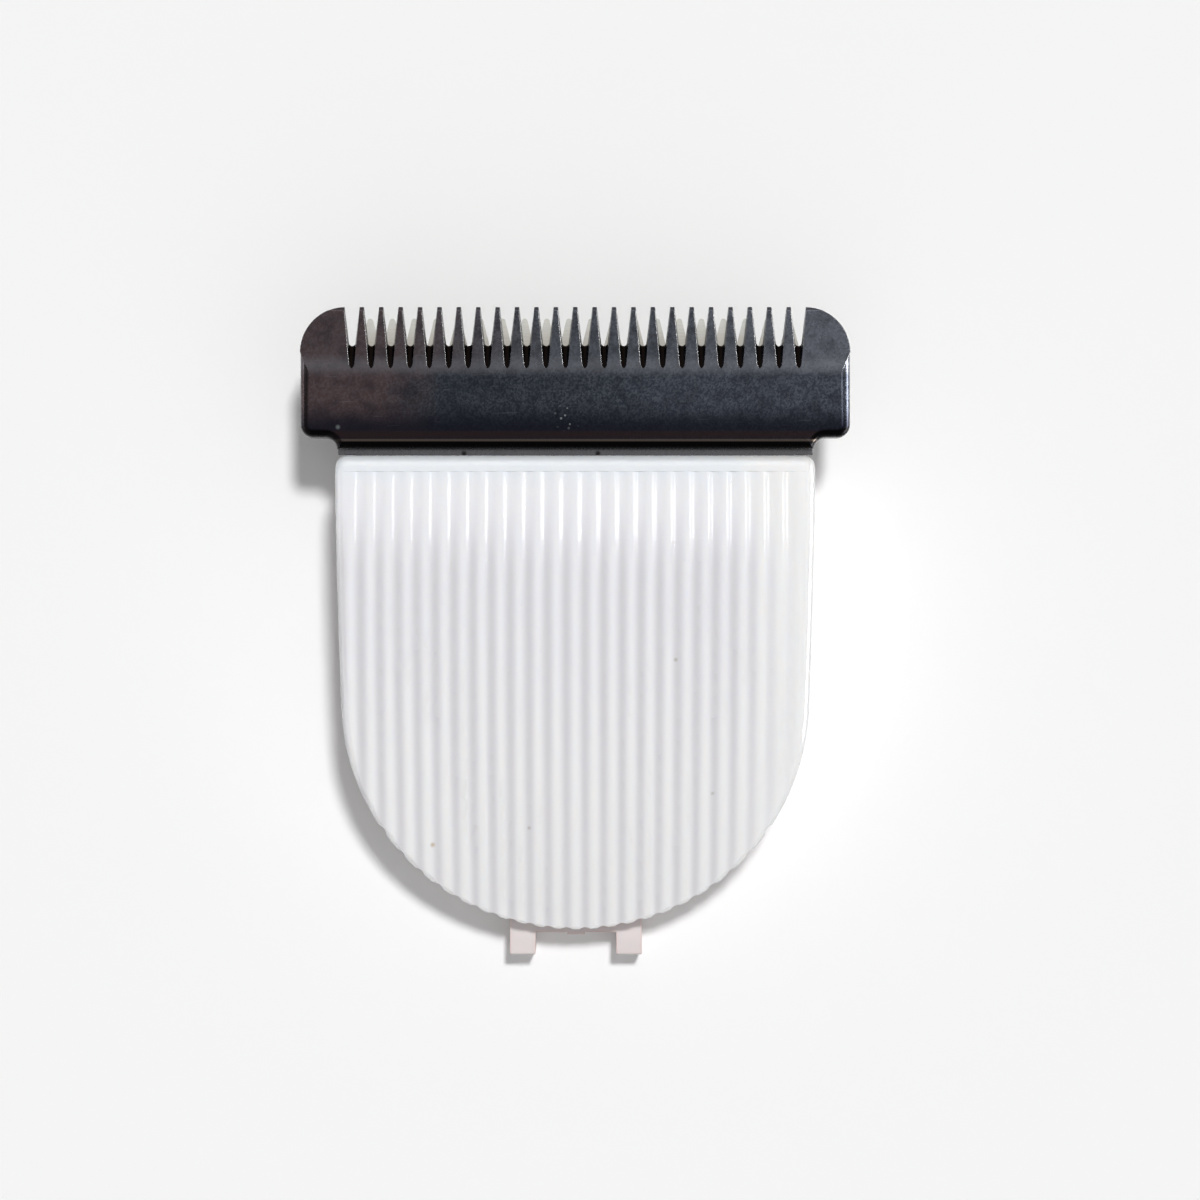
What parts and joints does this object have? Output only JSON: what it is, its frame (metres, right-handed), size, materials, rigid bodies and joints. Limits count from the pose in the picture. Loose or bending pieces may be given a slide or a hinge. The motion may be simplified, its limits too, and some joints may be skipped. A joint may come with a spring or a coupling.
{
  "type": "hair clipper blade head",
  "caption": "Snap-in hair clipper head: a ribbed white cover holds a dark comb blade, a ceramic cutter slides sideways behind the comb teeth, and hinge legs stand out at the foot.",
  "frame": {"origin": "centre of the bounding box, on the plane of the rear rim", "axes": "+X across the teeth along the cutter's stroke, +Y from the hinge legs to the comb tips, +Z out of the ribbed cover"},
  "size_m": [0.0412, 0.0494, 0.012],
  "materials": {
    "cover_plastic": "satin white moulding",
    "frame_plastic": "warm white moulding",
    "comb_steel": "dark coated and ground",
    "cutter_ceramic": "ground cream ceramic",
    "carrier_plastic": "dark bearing plastic",
    "spring_steel": "drawn spring wire",
    "screw_steel": "plated"
  },
  "bodies": {
    "head": {"cover": "cover_plastic", "rear_frame": "frame_plastic", "comb_blade": "comb_steel", "pressure_spring": "spring_steel", "comb_screws": "screw_steel"},
    "cutter": {"cutter_blade": "cutter_ceramic", "cutter_carrier": "carrier_plastic"}
  },
  "joints": [
    {"name": "cutter_stroke", "type": "slide", "parent": "head", "child": "cutter", "axis": [1, 0, 0], "range_m": [-0.00145, 0.00075]}
  ]
}
